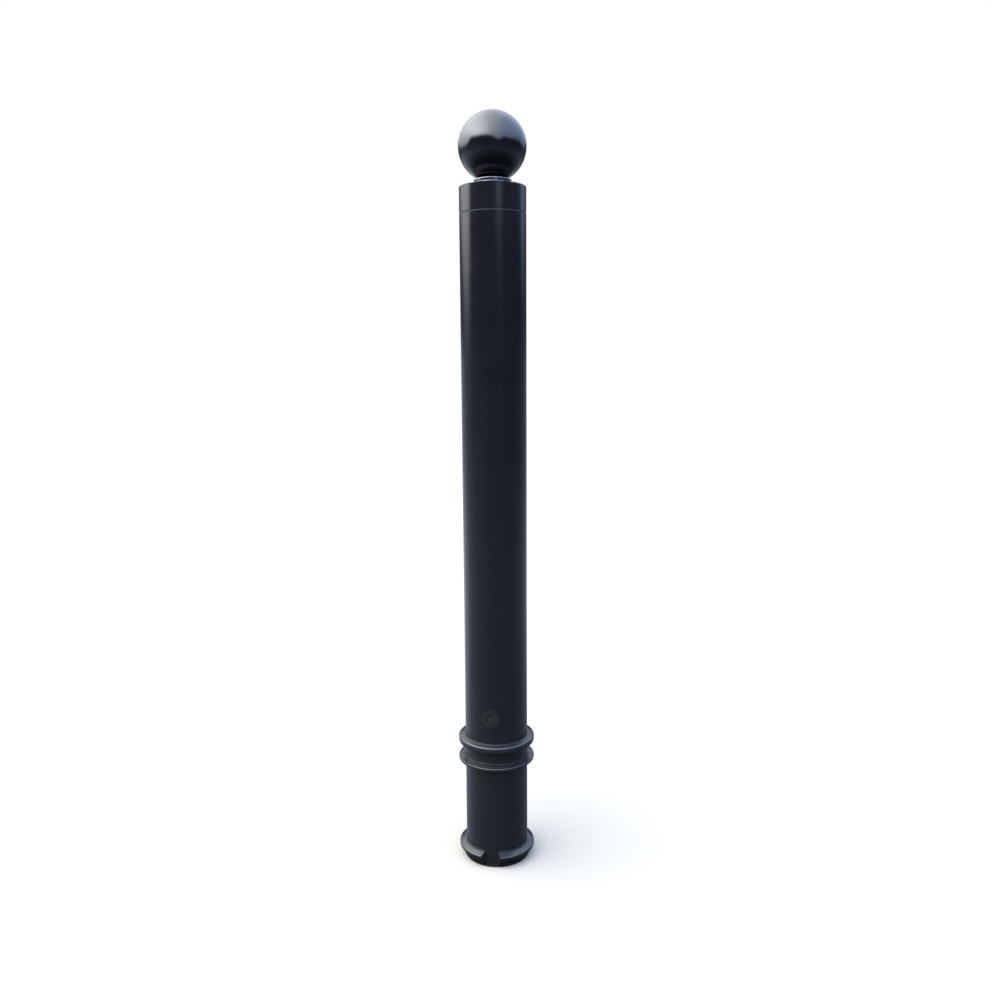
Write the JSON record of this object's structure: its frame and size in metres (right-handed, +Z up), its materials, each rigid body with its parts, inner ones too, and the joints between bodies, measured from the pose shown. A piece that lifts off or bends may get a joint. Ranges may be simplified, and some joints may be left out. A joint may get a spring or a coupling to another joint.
{
  "type": "retractable bollard",
  "caption": "Black retractable post with a ball finial, guide collars, a keyed foot, an inner gas strut and key-operated latch bolts.",
  "frame": {"origin": "on the pit floor, on the post's axis", "axes": "+Z up along the post; -Y is the front, with the lock and the keyway; +X is to the front's right"},
  "size_m": [0.124, 0.124, 1.1853],
  "materials": {
    "black_paint": "semi-gloss black paint over steel",
    "ball_lacquer": "high-gloss black lacquer",
    "neck_aluminium": "turned and polished",
    "collar_nylon": "moulded black nylon",
    "boot_rubber": "moulded rubber",
    "gasket_nylon": "natural grey nylon washer",
    "zinc_plate": "zinc plated steel",
    "black_screw": "black oxide steel",
    "strut_paint": "black enamel",
    "hard_chrome": "hard chrome, ground",
    "bronze": "machined bronze",
    "seal_rubber": "moulded nitrile",
    "lock_black": "black coated die-cast zinc",
    "die_cast": "bare die-casting",
    "piston_alloy": "turned",
    "plug_brass": "turned brass",
    "bolt_steel": "ground stainless steel"
  },
  "bodies": {
    "anchor": {"anchor_plate": "zinc_plate", "anchor_pin": "zinc_plate", "anchor_pin_clip": "black_screw", "rod_eye": "zinc_plate", "rod_lock_nut": "zinc_plate", "strut_rod": "hard_chrome", "strut_piston": "piston_alloy", "piston_seal": "seal_rubber", "piston_nut": "zinc_plate"},
    "post": {"ball_finial": "ball_lacquer", "bolt_guide_left": "bronze", "bolt_guide_right": "bronze", "cap_gasket": "gasket_nylon", "collar_screws": "black_screw", "finial_stud": "zinc_plate", "foot_boot": "boot_rubber", "foot_collar_front_left": "collar_nylon", "foot_collar_front_right": "collar_nylon", "foot_collar_rear": "collar_nylon", "head_cap": "black_paint", "lock_barrel": "lock_black", "lock_case": "die_cast", "lock_nut": "plug_brass", "lock_saddle": "die_cast", "lower_collar_front": "collar_nylon", "lower_collar_rear": "collar_nylon", "neck_ring": "neck_aluminium", "post_tube": "black_paint", "rod_seal": "seal_rubber", "rod_wiper": "seal_rubber", "strut_bulkhead": "zinc_plate", "strut_cylinder": "strut_paint", "strut_end_plug": "strut_paint", "strut_gland": "bronze", "strut_top_eye": "zinc_plate", "strut_top_pin": "zinc_plate", "strut_top_pin_clip": "black_screw", "upper_collar_front": "collar_nylon", "upper_collar_rear": "collar_nylon"},
    "key_plug": {"lock_plug": "plug_brass", "lock_pinion": "zinc_plate", "pinion_clip": "black_screw"},
    "latch_slide": {"lock_rack": "zinc_plate", "latch_yoke": "zinc_plate", "yoke_screw": "black_screw"},
    "bolt_right": {"latch_bolt_right": "bolt_steel", "latch_pin_right": "zinc_plate"},
    "bolt_left": {"latch_bolt_left": "bolt_steel", "latch_pin_left": "zinc_plate"}
  },
  "joints": [
    {"name": "post_lift", "type": "slide", "parent": "anchor", "child": "post", "axis": [0, 0, 1], "range_m": [0, 0.85]},
    {"name": "key_turn", "type": "hinge", "parent": "post", "child": "key_plug", "pos_m": [0, -0.0285, 0.2526], "axis": [0, 1, 0], "range_deg": [0, 120]},
    {"name": "rack_drop", "type": "slide", "parent": "post", "child": "latch_slide", "axis": [0, 0, -1], "range_m": [0, 0.01884]},
    {"name": "bolt_right_throw", "type": "slide", "parent": "post", "child": "bolt_right", "axis": [1, 0, 0], "range_m": [0, 0.01886]},
    {"name": "bolt_left_throw", "type": "slide", "parent": "post", "child": "bolt_left", "axis": [-1, 0, 0], "range_m": [0, 0.01886]}
  ],
  "couplings": [
    {"joint": "key_turn", "follows": "rack_drop", "rad_per_m": 111.11},
    {"joint": "bolt_right_throw", "follows": "rack_drop", "ratio": 1},
    {"joint": "bolt_left_throw", "follows": "rack_drop", "ratio": 1}
  ]
}
